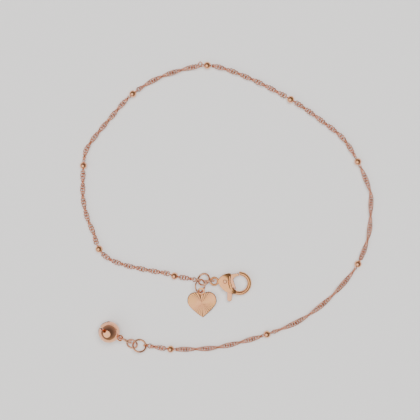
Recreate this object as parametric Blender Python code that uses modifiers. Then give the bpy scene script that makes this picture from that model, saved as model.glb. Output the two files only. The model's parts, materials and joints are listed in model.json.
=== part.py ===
"""A fine rose-gold anklet, lying unfastened in an open loop.

A twisted curb chain with ten small beads runs from a lobster clasp, which also carries a ray-cut heart, to a
small round bell. The links of the chain are too fine to be solids here, so each stretch of chain between two
beads is a plain tube of the chain's width.

Metres, +Z up. The table is z = 0, and the origin is on it under the middle of the loop.
"""
import math

import bmesh
import bpy
import numpy as np
from mathutils import Matrix, Vector

# What lies on the table is this far above it
TABLE_GAP = 0.00002

# Chain and beads. A stretch of chain rises over this length to meet a bead in its middle
CHAIN_WIDTH = 0.0014
CHAIN_SIDES = 8
CHAIN_POINT_SPACING = 0.0034
CHAIN_RISE_LENGTH = 0.0025
BEAD_DIAMETER = 0.0018
BEAD_BORE = 0.0005
BEAD_ROWS = 8
BEAD_SIDES = 12
PIECE_GAP = 0.0003

# The chain lies along one smooth curve through these points (x, y), from the clasp end to the bell end
CHAIN_ROUTE = [
    (-0.00800, -0.01800), (-0.01020, -0.01760), (-0.01268, -0.01720), (-0.01498, -0.01645), (-0.01810, -0.01595),
    (-0.02158, -0.01527), (-0.02568, -0.01430), (-0.02958, -0.01270), (-0.03200, -0.01010), (-0.03320, -0.00650),
    (-0.03465, -0.00307), (-0.03560, 0.00060), (-0.03595, 0.00440), (-0.03555, 0.01223), (-0.03415, 0.01593),
    (-0.02923, 0.02205), (-0.02405, 0.02778), (-0.01780, 0.03193), (-0.01068, 0.03445), (-0.00485, 0.03540),
    (0.00030, 0.03430), (0.00690, 0.03165), (0.01280, 0.02867), (0.01833, 0.02542), (0.02363, 0.02160),
    (0.02900, 0.01718), (0.03265, 0.01140), (0.03565, 0.00433), (0.03592, 0.00060), (0.03537, -0.00688),
    (0.03280, -0.01387), (0.02838, -0.01980), (0.02322, -0.02475), (0.01730, -0.02873), (0.01063, -0.03140),
    (0.00387, -0.03352), (-0.00343, -0.03505), (-0.01135, -0.03540), (-0.01562, -0.03515), (-0.01925, -0.03457),
]
# How far along the chain each bead's middle lies
BEAD_STATIONS = [0.00515, 0.0256, 0.0471, 0.0693, 0.0895, 0.1121, 0.1353, 0.1620, 0.1913, 0.2158]

# Rings and links of round wire. Each leans by its tilt, rising towards the compass direction uphill (0 is +X)
RING_SIDES = 16
WIRE_SIDES = 6
JUMP_WIRE = 0.0005
FINE_WIRE = 0.00045
SLIM_WIRE = 0.0004
END_LINK_WIRE = 0.0003
END_LINK_RADIUS = 0.00055

END_RING_RADIUS = 0.0016
END_RING_TILT = 26.3
END_RING_UPHILL = 249.4
END_RING_PLACE = (-0.02179, -0.03448)

MIDDLE_RING_RADIUS = 0.00131
MIDDLE_RING_TILT = 34.5
MIDDLE_RING_UPHILL = 67.2
MIDDLE_RING_PLACE = (-0.02363, -0.03402)

BELL_LINK_LENGTH = 0.0030
BELL_LINK_WIDTH = 0.00264
BELL_LINK_PLACE = (-0.02521, -0.03306, 0.00158)
BELL_LINK_HEADING = -25.8
BELL_LINK_SLOPE = 19.8
BELL_LINK_LEAN = 3.2

END_LINK_A_PLACE = (-0.02022, -0.03438, 0.00067)
END_LINK_A_TILT = 60.0
END_LINK_A_UPHILL = 99.0

CLASP_SIDE_RING_RADIUS = 0.0015
CLASP_SIDE_RING_TILT = 33.5
CLASP_SIDE_RING_UPHILL = -50.1
CLASP_SIDE_RING_PLACE = (-0.00579, -0.01791)

CHARM_RING_RADIUS = 0.0016
CHARM_RING_TILT = 44.0
CHARM_RING_UPHILL = 175.75
CHARM_RING_PLACE = (-0.00667, -0.01952, 0.00134)

CLASP_RING_RADIUS = 0.00114
CLASP_RING_PLACE = (-0.00434, -0.01828, 0.00139)

END_LINK_B_PLACE = (-0.00719, -0.01820, 0.00064)
END_LINK_B_TILT = 57.6
END_LINK_B_UPHILL = 86.1

# Bell
BELL_DIAMETER = 0.0053
BELL_WALL = 0.0003
BELL_SLOT_WIDTH = 0.00045
BELL_SLOT_REACH = 54.0
BELL_SLOT_OVERCUT = 0.0004
BELL_HOLE_DIAMETER = 0.00095
BELL_LOOP_RADIUS = 0.00062
BELL_LOOP_WIRE = 0.0004
BELL_PLACE = (-0.02920, -0.03090)
BELL_LOOP_PLACE = (-0.02651, -0.03246, 0.00197)
BELL_LOOP_TURN = -3.0
BELL_SIDES = 24
BELL_ROWS = 12

# Heart charm. Half of its outline from the point up: share of the half width, share of the height
HEART_WIDTH = 0.00736
HEART_HEIGHT = 0.00645
HEART_THICKNESS = 0.00032
HEART_HALF_OUTLINE = [
    (0.0, 0.0), (0.40, 0.175), (0.72, 0.355), (0.915, 0.495), (1.0, 0.65), (0.955, 0.81),
    (0.78, 0.94), (0.48, 1.0), (0.20, 0.965), (0.0, 0.885),
]
HEART_RAYS = 36
HEART_RAY_DEPTH = 0.00010
HEART_RAY_CENTRE = 0.62
HEART_EYE_RADIUS = 0.00087
HEART_EYE_THICKNESS = 0.00034
HEART_EYE_HOLE = 0.00053
HEART_EYE_HOLE_DROP = 0.0001
# The eye's middle is this far above the two lobes, and hangs in the charm ring here
HEART_EYE_RISE = 0.00022
HEART_EYE_PLACE = (-0.006307, -0.020818)
HEART_TURN = 3.0
HEART_PITCH = 5.7
HEART_ROLL = -6.5

# Lobster clasp. The origin of its own frame is the rivet's axis, +X towards the hook. Its eye's middle lies here
CLASP_EYE_PLACE = (-0.0031268, -0.0184033)
CLASP_TURN = -4.0
CLASP_THICKNESS = 0.0022
BODY_LENGTH = 0.0047
BODY_WIDTH = 0.0050
BODY_ROUNDING = 0.00035
# Body outline round the rivet: share of the body's length, share of its width
BODY_OUTLINE = [
    (-0.375, -0.03), (-0.340, 0.105), (-0.225, 0.245), (-0.080, 0.345), (0.130, 0.410), (0.250, 0.405),
    (0.292, 0.350), (0.287, 0.070), (0.335, -0.090), (0.405, -0.280), (0.455, -0.315), (0.520, -0.360),
    (0.590, -0.400), (0.620, -0.440), (0.600, -0.560), (0.530, -0.585), (0.364, -0.578), (0.147, -0.532),
    (-0.019, -0.452), (-0.189, -0.314), (-0.306, -0.170),
]
SLOT_CLEARANCE = 0.00013
EYE_RADIUS = 0.00092
EYE_WIRE = 0.00055
# The eye's middle: how far behind the body's tail, and how far to the side of the rivet
EYE_BEHIND_TAIL = 0.0009075
EYE_SIDE = -0.00019
HOOK_RADIUS = 0.00245
HOOK_WIDTH = 0.0010
HOOK_DEPTH = 0.0012
HOOK_SIDES = 8
# The hook's centre: how far ahead of the body's nose, and how far to the side of the rivet
HOOK_AHEAD_OF_NOSE = 0.000736
HOOK_SIDE = -0.00025
HOOK_START = -127.0
HOOK_END = 97.0
HOOK_STEPS = 22
RIVET_DIAMETER = 0.0008
RIVET_LENGTH = 0.00216
RIVET_CLEARANCE = 0.0001
LEVER_THICKNESS = 0.0009
GATE_CLEARANCE = 0.00015
# Where the gate meets the hook, seen from the hook's centre, and what the gate sweeps, seen from the rivet
GATE_MEETS_HOOK = 92.0
GATE_ARC = (25.5, 36.0)
GATE_SWEEP = (5.0, 53.0)
# Lever outline after the gate's end, round to the gate again: share of the body's length, share of its width
WEB_CORNER = (0.617, -0.370)
LEVER_OUTLINE = [
    (0.425, 0.400), (0.300, 0.370), (0.160, 0.300), (0.000, 0.180), (-0.110, 0.130), (-0.185, 0.010),
    (-0.150, -0.115), (-0.040, -0.260), (0.100, -0.420), (0.165, -0.560), (0.172, -0.780), (0.178, -0.890),
    (0.215, -0.955), (0.300, -0.985), (0.385, -0.955), (0.425, -0.890), (0.425, -0.780), (0.420, -0.560),
    (0.415, -0.330), (0.470, -0.265), (0.600, -0.345), WEB_CORNER, (0.580, -0.240), (0.520, -0.120),
    (0.440, 0.060), (0.417, 0.128), (0.480, 0.220), (0.600, 0.300),
]
# Slot between the two cheeks, for the lever and its swing, with the same columns. It ends in the arc that the web's
# corner sweeps
SLOT_OUTLINE = [
    (0.488, -0.660), (-0.130, -0.660), (-0.215, -0.100), (-0.225, 0.050), (-0.160, 0.175), (-0.010, 0.235),
    (0.100, 0.330), (0.110, 0.480), (0.420, 0.480), (0.420, 0.000), (0.650, -0.240),
]
WEB_SWEEP = (-28.0, -50.0)

ROSE_GOLD = (0.72, 0.43, 0.30)


def clear_scene():
    for old in list(bpy.data.objects):
        bpy.data.objects.remove(old, do_unlink=True)


def new_collection(name):
    collection = bpy.data.collections.new(name)
    bpy.context.scene.collection.children.link(collection)
    return collection


def gold_material(name, colour=ROSE_GOLD, roughness=0.25):
    material = bpy.data.materials.new(name)
    material.use_nodes = True
    shader = material.node_tree.nodes["Principled BSDF"]
    shader.inputs["Base Color"].default_value = (*colour, 1.0)
    shader.inputs["Metallic"].default_value = 1.0
    shader.inputs["Roughness"].default_value = roughness
    return material


def put(obj, name, collection, roughness=0.25):
    """Name the object, move it to its collection, and give it its own material."""
    obj.name = name
    obj.data.name = name
    for old in list(obj.users_collection):
        old.objects.unlink(obj)
    collection.objects.link(obj)
    obj.data.materials.clear()
    obj.data.materials.append(gold_material(name, roughness=roughness))
    return obj


def put_cutter(obj, name, cutters):
    obj.name = name
    for old in list(obj.users_collection):
        old.objects.unlink(obj)
    cutters.objects.link(obj)
    obj.hide_render = True
    obj.display_type = "WIRE"
    return obj


def boolean(obj, tool, operation):
    modifier = obj.modifiers.new(operation.title() + " " + tool.name, "BOOLEAN")
    modifier.operation = operation
    modifier.object = tool


def bevel(obj, width, segments):
    modifier = obj.modifiers.new("Rounded edges", "BEVEL")
    modifier.width = width
    modifier.segments = segments
    modifier.limit_method = "ANGLE"
    modifier.angle_limit = math.radians(40)


def curve_to_mesh(curve_object, name):
    """A closed mesh object in place of a curve object."""
    evaluated = curve_object.evaluated_get(bpy.context.evaluated_depsgraph_get())
    mesh = bpy.data.meshes.new_from_object(evaluated)
    shape = bmesh.new()
    shape.from_mesh(mesh)
    bmesh.ops.remove_doubles(shape, verts=shape.verts, dist=1e-7)
    bmesh.ops.recalc_face_normals(shape, faces=shape.faces)
    shape.to_mesh(mesh)
    shape.free()
    solid = bpy.data.objects.new(name, mesh)
    bpy.context.scene.collection.objects.link(solid)
    solid.matrix_world = curve_object.matrix_world
    bpy.data.objects.remove(curve_object, do_unlink=True)
    return solid


def flat_solid(name, outline, thickness, middle):
    """The flat outline (x, y) as a solid of this thickness, its middle at height middle."""
    curve = bpy.data.curves.new(name, "CURVE")
    curve.dimensions = "2D"
    curve.fill_mode = "BOTH"
    curve.extrude = thickness / 2
    spline = curve.splines.new("POLY")
    spline.points.add(len(outline) - 1)
    for point, (x, y) in zip(spline.points, outline):
        point.co = (x, y, 0.0, 1.0)
    spline.use_cyclic_u = True
    curve_object = bpy.data.objects.new(name, curve)
    bpy.context.scene.collection.objects.link(curve_object)
    bpy.context.view_layer.update()
    solid = curve_to_mesh(curve_object, name)
    solid.data.transform(Matrix.Translation((0.0, 0.0, middle)))
    return solid


def tube(name, points, diameter, sides):
    """A round tube with flat ends through the points. It has an even number of sides."""
    curve = bpy.data.curves.new(name, "CURVE")
    curve.dimensions = "3D"
    curve.bevel_depth = diameter / 2
    curve.bevel_resolution = sides // 2 - 2
    curve.use_fill_caps = True
    spline = curve.splines.new("POLY")
    spline.points.add(len(points) - 1)
    for point, place in zip(spline.points, points):
        point.co = (*place, 1.0)
    curve_object = bpy.data.objects.new(name, curve)
    bpy.context.scene.collection.objects.link(curve_object)
    bpy.context.view_layer.update()
    return curve_to_mesh(curve_object, name)


def smooth_curve(points, steps=16, closed=False):
    """Points along one smooth curve that passes through all of the given points."""
    points = [np.array(point, float) for point in points]
    if closed:
        padded = [points[-1], *points, points[0], points[1]]
    else:
        padded = [2 * points[0] - points[1], *points, 2 * points[-1] - points[-2]]
    result = []
    for before, start, end, after in zip(padded, padded[1:], padded[2:], padded[3:]):
        for step in range(steps):
            t = step / steps
            result.append(0.5 * (2 * start + (end - before) * t + (2 * before - 5 * start + 4 * end - after) * t * t
                                 + (3 * start - before - 3 * end + after) * t ** 3))
    if not closed:
        result.append(points[-1])
    return np.array(result)


class Route:
    """The chain's path, read by distance from its clasp end."""

    def __init__(self, points):
        self.path = smooth_curve(points)
        steps = np.linalg.norm(np.diff(self.path, axis=0), axis=1)
        self.distance = np.concatenate([[0.0], np.cumsum(steps)])
        self.length = float(self.distance[-1])

    def at(self, distance):
        return np.array([np.interp(distance, self.distance, self.path[:, axis]) for axis in (0, 1)])

    def heading(self, distance):
        ahead = self.at(distance + CHAIN_WIDTH / 4) - self.at(distance - CHAIN_WIDTH / 4)
        return math.atan2(ahead[1], ahead[0])


def lean(tilt, uphill):
    """The turn of a flat ring that leans by tilt and rises towards uphill, both in degrees."""
    return Matrix.Rotation(math.radians(uphill), 4, "Z") @ Matrix.Rotation(-math.radians(tilt), 4, "Y")


def lying_place(place, radius, wire, tilt):
    """The middle of a leaning ring whose lowest point is just over the table."""
    return (*place, radius * math.sin(math.radians(tilt)) + wire / 2 + TABLE_GAP)


def torus(radius, wire, sides=RING_SIDES, wire_sides=WIRE_SIDES):
    bpy.ops.mesh.primitive_torus_add(major_radius=radius, minor_radius=wire / 2, major_segments=sides,
                                     minor_segments=wire_sides)
    ring = bpy.context.object
    ring.data.shade_smooth()
    return ring


def wire_ring(name, parts, radius, wire, place, tilt, uphill):
    ring = put(torus(radius, wire), name, parts)
    ring.matrix_world = Matrix.Translation(place) @ lean(tilt, uphill)
    return ring


def make_rings(parts):
    """The loose rings and links at the two ends of the chain."""
    end_place = lying_place(END_RING_PLACE, END_RING_RADIUS, JUMP_WIRE, END_RING_TILT)
    wire_ring("end_ring", parts, END_RING_RADIUS, JUMP_WIRE, end_place, END_RING_TILT, END_RING_UPHILL)
    middle_place = lying_place(MIDDLE_RING_PLACE, MIDDLE_RING_RADIUS, FINE_WIRE, MIDDLE_RING_TILT)
    wire_ring("middle_ring", parts, MIDDLE_RING_RADIUS, FINE_WIRE, middle_place,
              MIDDLE_RING_TILT, MIDDLE_RING_UPHILL)
    side_place = lying_place(CLASP_SIDE_RING_PLACE, CLASP_SIDE_RING_RADIUS, JUMP_WIRE, CLASP_SIDE_RING_TILT)
    wire_ring("clasp_side_ring", parts, CLASP_SIDE_RING_RADIUS, JUMP_WIRE, side_place,
              CLASP_SIDE_RING_TILT, CLASP_SIDE_RING_UPHILL)
    wire_ring("charm_ring", parts, CHARM_RING_RADIUS, SLIM_WIRE, CHARM_RING_PLACE,
              CHARM_RING_TILT, CHARM_RING_UPHILL)
    wire_ring("clasp_ring", parts, CLASP_RING_RADIUS, SLIM_WIRE, CLASP_RING_PLACE, 90.0, 90.0)
    wire_ring("end_link_a", parts, END_LINK_RADIUS, END_LINK_WIRE, END_LINK_A_PLACE,
              END_LINK_A_TILT, END_LINK_A_UPHILL)
    wire_ring("end_link_b", parts, END_LINK_RADIUS, END_LINK_WIRE, END_LINK_B_PLACE,
              END_LINK_B_TILT, END_LINK_B_UPHILL)


def make_bell_link(parts):
    """The oval link between the bell's loop and the middle ring, standing nearly on edge."""
    link = put(torus(BELL_LINK_WIDTH / 2, FINE_WIRE), "bell_link", parts)
    link.data.transform(Matrix.Scale(BELL_LINK_LENGTH / BELL_LINK_WIDTH, 4, (1.0, 0.0, 0.0)))
    heading = Matrix.Rotation(math.radians(BELL_LINK_HEADING), 4, "Z")
    slope = Matrix.Rotation(math.radians(BELL_LINK_SLOPE), 4, "Y")
    upright = Matrix.Rotation(math.radians(90.0 - BELL_LINK_LEAN), 4, "X")
    link.matrix_world = Matrix.Translation(BELL_LINK_PLACE) @ heading @ slope @ upright


def make_bell(parts, cutters):
    """A thin hollow ball with a soldered loop, and two crossed slots at the far pole that end in round holes.

    It is modelled with the loop at +Z and then turned, so that the loop points at the bell link.
    """
    outer = BELL_DIAMETER / 2
    middle = Vector((*BELL_PLACE, outer + TABLE_GAP))
    bpy.ops.mesh.primitive_uv_sphere_add(segments=BELL_SIDES, ring_count=BELL_ROWS, radius=outer)
    bell = put(bpy.context.object, "bell", parts, roughness=0.15)
    bell.data.shade_smooth()

    bpy.ops.mesh.primitive_uv_sphere_add(segments=BELL_SIDES, ring_count=BELL_ROWS, radius=outer - BELL_WALL)
    tools = [(put_cutter(bpy.context.object, "bell_hollow", cutters), "DIFFERENCE")]
    reach = math.radians(BELL_SLOT_REACH)
    slot_depth = outer * (1.0 - math.cos(reach)) + BELL_SLOT_OVERCUT
    for turn in (0.0, 90.0):
        bpy.ops.mesh.primitive_cube_add(size=1.0)
        slot = put_cutter(bpy.context.object, f"bell_slot_{turn:.0f}", cutters)
        size = Matrix.Diagonal((2 * outer * math.sin(reach), BELL_SLOT_WIDTH, slot_depth, 1.0))
        drop = Matrix.Translation((0.0, 0.0, -outer * math.cos(reach) - slot_depth / 2))
        slot.data.transform(Matrix.Rotation(math.radians(turn), 4, "Z") @ drop @ size)
        tools.append((slot, "DIFFERENCE"))
    for turn in (0.0, 90.0, 180.0, 270.0):
        bpy.ops.mesh.primitive_cylinder_add(vertices=10, radius=BELL_HOLE_DIAMETER / 2, depth=outer)
        hole = put_cutter(bpy.context.object, f"bell_hole_{turn:.0f}", cutters)
        aim = Matrix.Rotation(math.radians(turn), 4, "Z") @ Matrix.Rotation(math.pi - reach, 4, "Y")
        hole.data.transform(aim @ Matrix.Translation((0.0, 0.0, outer)))
        tools.append((hole, "DIFFERENCE"))

    loop = put_cutter(torus(BELL_LOOP_RADIUS, BELL_LOOP_WIRE, sides=14), "bell_loop", cutters)
    loop_out = Vector(BELL_LOOP_PLACE) - middle
    stand = Matrix.Rotation(math.radians(BELL_LOOP_TURN), 4, "Z") @ Matrix.Rotation(math.pi / 2, 4, "Y")
    loop.data.transform(Matrix.Translation((0.0, 0.0, loop_out.length)) @ stand)
    tools.append((loop, "UNION"))

    up = loop_out.normalized()
    across = up.cross(Vector((0.0, 0.0, 1.0))).normalized()
    facing = across.cross(up)
    turned = Matrix((facing, across, up)).transposed().to_4x4()
    placed = Matrix.Translation(middle) @ turned
    bell.matrix_world = placed
    for tool, operation in tools:
        tool.matrix_world = placed
        boolean(bell, tool, operation)


def heart_outline():
    """The heart's edge as one point for each ray line, seen from where its rays meet."""
    half = smooth_curve([(x * HEART_WIDTH / 2, y * HEART_HEIGHT) for x, y in HEART_HALF_OUTLINE])
    edge = np.vstack([half, (half * (-1.0, 1.0))[-2:0:-1]])
    middle = np.array((0.0, HEART_RAY_CENTRE * HEART_HEIGHT))
    angles = np.arctan2(edge[:, 1] - middle[1], edge[:, 0] - middle[0])
    order = np.argsort(angles)
    reach = np.linalg.norm(edge - middle, axis=1)
    rays = np.radians(-90.0 + np.arange(2 * HEART_RAYS) * 180.0 / HEART_RAYS)
    rays = (rays + math.pi) % (2 * math.pi) - math.pi
    lengths = np.interp(rays, angles[order], reach[order], period=2 * math.pi)
    return [(float(middle[0] + length * math.cos(ray)), float(middle[1] + length * math.sin(ray)))
            for ray, length in zip(rays, lengths)]


def make_heart(parts, cutters):
    """A thin heart with V grooves that meet in its middle, and a drilled eye at the top."""
    half = HEART_THICKNESS / 2
    outline = heart_outline()
    heart = put(flat_solid("heart_charm", outline, HEART_THICKNESS, half), "heart_charm", parts, 0.3)
    shape = bmesh.new()
    shape.from_mesh(heart.data)
    tops = [face for face in shape.faces if face.normal.z > 0.9]
    bmesh.ops.dissolve_faces(shape, faces=tops)
    top = max((face for face in shape.faces if face.normal.z > 0.9), key=lambda face: face.calc_area())
    rim = [loop.vert for loop in top.loops]
    centre = bmesh.ops.poke(shape, faces=[top])["verts"][0]
    centre.co = (0.0, HEART_RAY_CENTRE * HEART_HEIGHT, HEART_THICKNESS - HEART_RAY_DEPTH)
    for valley in rim[::2]:
        valley.co.z -= HEART_RAY_DEPTH
    shape.to_mesh(heart.data)
    shape.free()

    bpy.ops.mesh.primitive_cylinder_add(vertices=20, radius=HEART_EYE_RADIUS, depth=HEART_EYE_THICKNESS)
    eye = put_cutter(bpy.context.object, "heart_eye", cutters)
    eye_height = HEART_HEIGHT + HEART_EYE_RISE
    eye.data.transform(Matrix.Translation((0.0, eye_height, half)))
    bpy.ops.mesh.primitive_cylinder_add(vertices=16, radius=HEART_EYE_HOLE, depth=HEART_THICKNESS * 4)
    hole = put_cutter(bpy.context.object, "heart_eye_hole", cutters)
    hole.data.transform(Matrix.Translation((0.0, eye_height - HEART_EYE_HOLE_DROP, half)))

    raised = Matrix.Rotation(math.radians(HEART_PITCH), 4, "X") @ Matrix.Rotation(math.radians(HEART_ROLL), 4, "Y")
    turned = raised @ Matrix.Rotation(math.radians(HEART_TURN), 4, "Z")
    lowest = min((turned @ Vector((x, y, 0.0))).z for x, y in outline)
    hung = Vector(HEART_EYE_PLACE) - (turned @ Vector((0.0, eye_height, 0.0))).to_2d()
    placed = Matrix.Translation((*hung, TABLE_GAP - lowest)) @ turned
    for obj in (heart, eye, hole):
        obj.matrix_world = placed
    boolean(heart, eye, "UNION")
    boolean(heart, hole, "DIFFERENCE")


def body_points(table):
    return [(x * BODY_LENGTH, y * BODY_WIDTH) for x, y in table]


def eye_centre():
    tail = min(x for x, y in body_points(BODY_OUTLINE))
    return (tail - EYE_BEHIND_TAIL, EYE_SIDE)


def hook_arc(radius, angle):
    """A point this far from the hook's centre, seen at this angle."""
    nose = max(x for x, y in body_points(BODY_OUTLINE))
    angle = math.radians(angle)
    return (nose + HOOK_AHEAD_OF_NOSE + radius * math.cos(angle), HOOK_SIDE + radius * math.sin(angle))


def gate_reach():
    """How far from the rivet the gate's end reaches: to the inner corner of the hook's end, less its clearance."""
    return math.hypot(*hook_arc(HOOK_RADIUS - HOOK_WIDTH / 2, GATE_MEETS_HOOK)) - GATE_CLEARANCE


def rivet_arc(radius, span, count):
    """Points on an arc about the rivet, between the two angles of span."""
    angles = np.radians(np.linspace(*span, count))
    return [(radius * math.cos(angle), radius * math.sin(angle)) for angle in angles]


def make_clasp(parts, cutters):
    """The lobster clasp: cast body with its eye and hook, the sprung lever in the body's slot, and the rivet."""
    middle = CLASP_THICKNESS / 2
    turned = Matrix.Rotation(math.radians(CLASP_TURN), 4, "Z")
    rivet_place = Vector((*CLASP_EYE_PLACE, 0.0)) - turned @ Vector((*eye_centre(), 0.0))
    placed = Matrix.Translation(rivet_place) @ turned

    body = put(flat_solid("clasp_body", body_points(BODY_OUTLINE), CLASP_THICKNESS, middle), "clasp_body", parts)
    bevel(body, BODY_ROUNDING, 2)
    slot_height = LEVER_THICKNESS + 2 * SLOT_CLEARANCE
    web_reach = math.hypot(*body_points([WEB_CORNER])[0]) + SLOT_CLEARANCE
    slot_outline = body_points(SLOT_OUTLINE) + rivet_arc(web_reach, WEB_SWEEP, 7)
    slot = put_cutter(flat_solid("clasp_slot", slot_outline, slot_height, middle), "clasp_slot", cutters)
    bpy.ops.mesh.primitive_cylinder_add(vertices=16, radius=RIVET_DIAMETER / 2 + RIVET_CLEARANCE,
                                        depth=CLASP_THICKNESS * 2, location=(0.0, 0.0, middle))
    bore = put_cutter(bpy.context.object, "clasp_bore", cutters)
    bore.data.transform(bore.matrix_world)

    arc = [(*hook_arc(HOOK_RADIUS, angle), middle) for angle in np.linspace(HOOK_START, HOOK_END, HOOK_STEPS + 1)]
    hook = put_cutter(tube("clasp_hook", arc, HOOK_WIDTH, HOOK_SIDES), "clasp_hook", cutters)
    deepen = Matrix.Translation((0.0, 0.0, middle)) @ Matrix.Scale(HOOK_DEPTH / HOOK_WIDTH, 4, (0.0, 0.0, 1.0))
    hook.data.transform(deepen @ Matrix.Translation((0.0, 0.0, -middle)))
    sweep = [(0.0, 0.0)] + rivet_arc(gate_reach() + GATE_CLEARANCE, GATE_SWEEP, 13)
    room = put_cutter(flat_solid("gate_room", sweep, CLASP_THICKNESS * 2, middle), "gate_room", cutters)
    boolean(hook, room, "DIFFERENCE")

    eye = put_cutter(torus(EYE_RADIUS, EYE_WIRE, sides=16, wire_sides=8), "clasp_eye", cutters)
    eye.data.transform(Matrix.Translation((*eye_centre(), middle)))

    lever_outline = rivet_arc(gate_reach(), GATE_ARC, 4) + body_points(LEVER_OUTLINE)
    lever = put(flat_solid("clasp_lever", lever_outline, LEVER_THICKNESS, middle), "clasp_lever", parts)

    bpy.ops.mesh.primitive_cylinder_add(vertices=16, radius=RIVET_DIAMETER / 2, depth=RIVET_LENGTH)
    rivet = put(bpy.context.object, "clasp_rivet", parts)
    rivet.data.transform(Matrix.Translation((0.0, 0.0, middle)))

    for obj in (body, slot, bore, hook, room, eye, lever, rivet):
        obj.matrix_world = placed
    boolean(body, bore, "DIFFERENCE")
    boolean(body, hook, "UNION")
    boolean(body, eye, "UNION")
    boolean(body, slot, "DIFFERENCE")
    boolean(lever, bore, "DIFFERENCE")


def make_bead(name, parts, route, station):
    """A round bead drilled along the chain: a turned ring of half-circle section."""
    radius = BEAD_DIAMETER / 2
    start = math.asin(BEAD_BORE / BEAD_DIAMETER)
    profile = bmesh.new()
    verts = []
    for angle in np.linspace(start, math.pi - start, BEAD_ROWS + 1):
        verts.append(profile.verts.new((radius * math.sin(angle), 0.0, radius * math.cos(angle))))
    for one, other in zip(verts, verts[1:] + verts[:1]):
        profile.edges.new((one, other))
    mesh = bpy.data.meshes.new(name)
    profile.to_mesh(mesh)
    profile.free()
    bead = put(bpy.data.objects.new(name, mesh), name, parts, roughness=0.15)
    screw = bead.modifiers.new("Turned", "SCREW")
    screw.steps = BEAD_SIDES
    screw.render_steps = BEAD_SIDES
    screw.use_merge_vertices = True
    screw.merge_threshold = 1e-6
    screw.use_smooth_shade = True
    x, y = route.at(station)
    along = Matrix.Rotation(route.heading(station), 4, "Z") @ Matrix.Rotation(math.pi / 2, 4, "Y")
    bead.matrix_world = Matrix.Translation((x, y, radius + TABLE_GAP)) @ along


def make_chain(parts):
    """Plain tubes for the stretches of chain, with a bead between each two."""
    route = Route(CHAIN_ROUTE)
    for number, station in enumerate(BEAD_STATIONS, start=1):
        make_bead(f"bead_{number:02d}", parts, route, station)

    bead_room = BEAD_DIAMETER / 2 + PIECE_GAP
    starts = [0.0] + [station + bead_room for station in BEAD_STATIONS]
    ends = [station - bead_room for station in BEAD_STATIONS] + [route.length]
    low, high = CHAIN_WIDTH / 2 + TABLE_GAP, BEAD_DIAMETER / 2
    for number, (start, end) in enumerate(zip(starts, ends), start=1):
        count = max(3, round((end - start) / CHAIN_POINT_SPACING) + 1)
        points = []
        for distance in np.linspace(start, end, count):
            nearest = min(abs(distance - station) for station in BEAD_STATIONS) - bead_room
            rise = max(0.0, 1.0 - nearest / CHAIN_RISE_LENGTH)
            points.append((*route.at(distance), low + (high - low) * rise))
        chain = tube(f"chain_{number:02d}", points, CHAIN_WIDTH, CHAIN_SIDES)
        put(chain, f"chain_{number:02d}", parts, roughness=0.3)


def main():
    clear_scene()
    parts = new_collection("anklet")
    cutters = new_collection("cutters")
    make_chain(parts)
    make_rings(parts)
    make_bell_link(parts)
    make_bell(parts, cutters)
    make_heart(parts, cutters)
    make_clasp(parts, cutters)


main()
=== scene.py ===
# %% [markdown]
# # A rose-gold anklet on a table
#
# The anklet lies unfastened in an open loop: a fine twisted chain with ten small beads, a lobster clasp with a heart
# beside it at one end, and a small bell at the other. The solids that carry its size come in first, as a fixed frame.
# Each cell after that dresses one part of it: the links of the chain, the beads, the rings, the bell, the heart and
# the clasp.

# %% Load the frame
import json
import math

import bpy
import numpy as np
from mathutils import Matrix, Vector

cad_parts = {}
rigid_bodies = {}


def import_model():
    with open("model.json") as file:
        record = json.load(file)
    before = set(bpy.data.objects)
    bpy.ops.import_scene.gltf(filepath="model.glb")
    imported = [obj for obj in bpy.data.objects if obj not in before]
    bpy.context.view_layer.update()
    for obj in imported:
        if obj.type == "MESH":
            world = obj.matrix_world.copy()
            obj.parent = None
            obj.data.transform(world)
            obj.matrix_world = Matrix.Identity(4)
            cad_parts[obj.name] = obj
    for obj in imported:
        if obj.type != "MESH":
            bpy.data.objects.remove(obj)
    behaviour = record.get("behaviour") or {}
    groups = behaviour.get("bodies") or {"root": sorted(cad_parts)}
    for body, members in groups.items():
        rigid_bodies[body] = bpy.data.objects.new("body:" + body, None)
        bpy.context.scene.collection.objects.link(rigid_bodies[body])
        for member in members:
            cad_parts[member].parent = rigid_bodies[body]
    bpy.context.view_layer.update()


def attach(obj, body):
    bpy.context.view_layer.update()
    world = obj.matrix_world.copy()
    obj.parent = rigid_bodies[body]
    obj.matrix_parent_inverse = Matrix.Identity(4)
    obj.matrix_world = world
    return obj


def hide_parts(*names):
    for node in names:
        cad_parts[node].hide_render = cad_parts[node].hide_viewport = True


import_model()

# %% [markdown]
# A jewel is small beside Blender's own units, and some of its tools round off tiny sizes. So each piece is modelled in
# millimetres, and only at the end does it shrink to metres and take its place. These helpers select one piece at a
# time, apply its modifiers, and tie the finished piece to the frame.

# %% Helpers for every piece
MM = 0.001


def choose(piece):
    """Select this piece alone, and make it the active one."""
    bpy.ops.object.select_all(action="DESELECT")
    piece.select_set(True)
    bpy.context.view_layer.objects.active = piece


def apply_modifiers(piece):
    """Apply all of a piece's modifiers, in their order."""
    choose(piece)
    for modifier in list(piece.modifiers):
        bpy.ops.object.modifier_apply(modifier=modifier.name)


def settle(piece, name, place, metal, stands_for, body="anklet"):
    """Shrink a piece from millimetres to metres at its place, and tie it to the frame."""
    piece.name = name
    piece.data.name = name
    piece.data.transform(Matrix.Scale(MM, 4) @ place @ piece.matrix_basis)
    piece.matrix_basis = Matrix.Identity(4)
    piece.data.materials.clear()
    piece.data.materials.append(metal)
    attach(piece, body)
    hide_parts(*stands_for)
    print(name, len(piece.data.polygons), "faces")


# %% [markdown]
# The photograph looks straight down on the table, with its top edge away from the viewer. A long lens keeps the bell
# and the clasp from leaning outwards. One millimetre of table is four pixels, which fixes how high the camera hangs.

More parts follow.
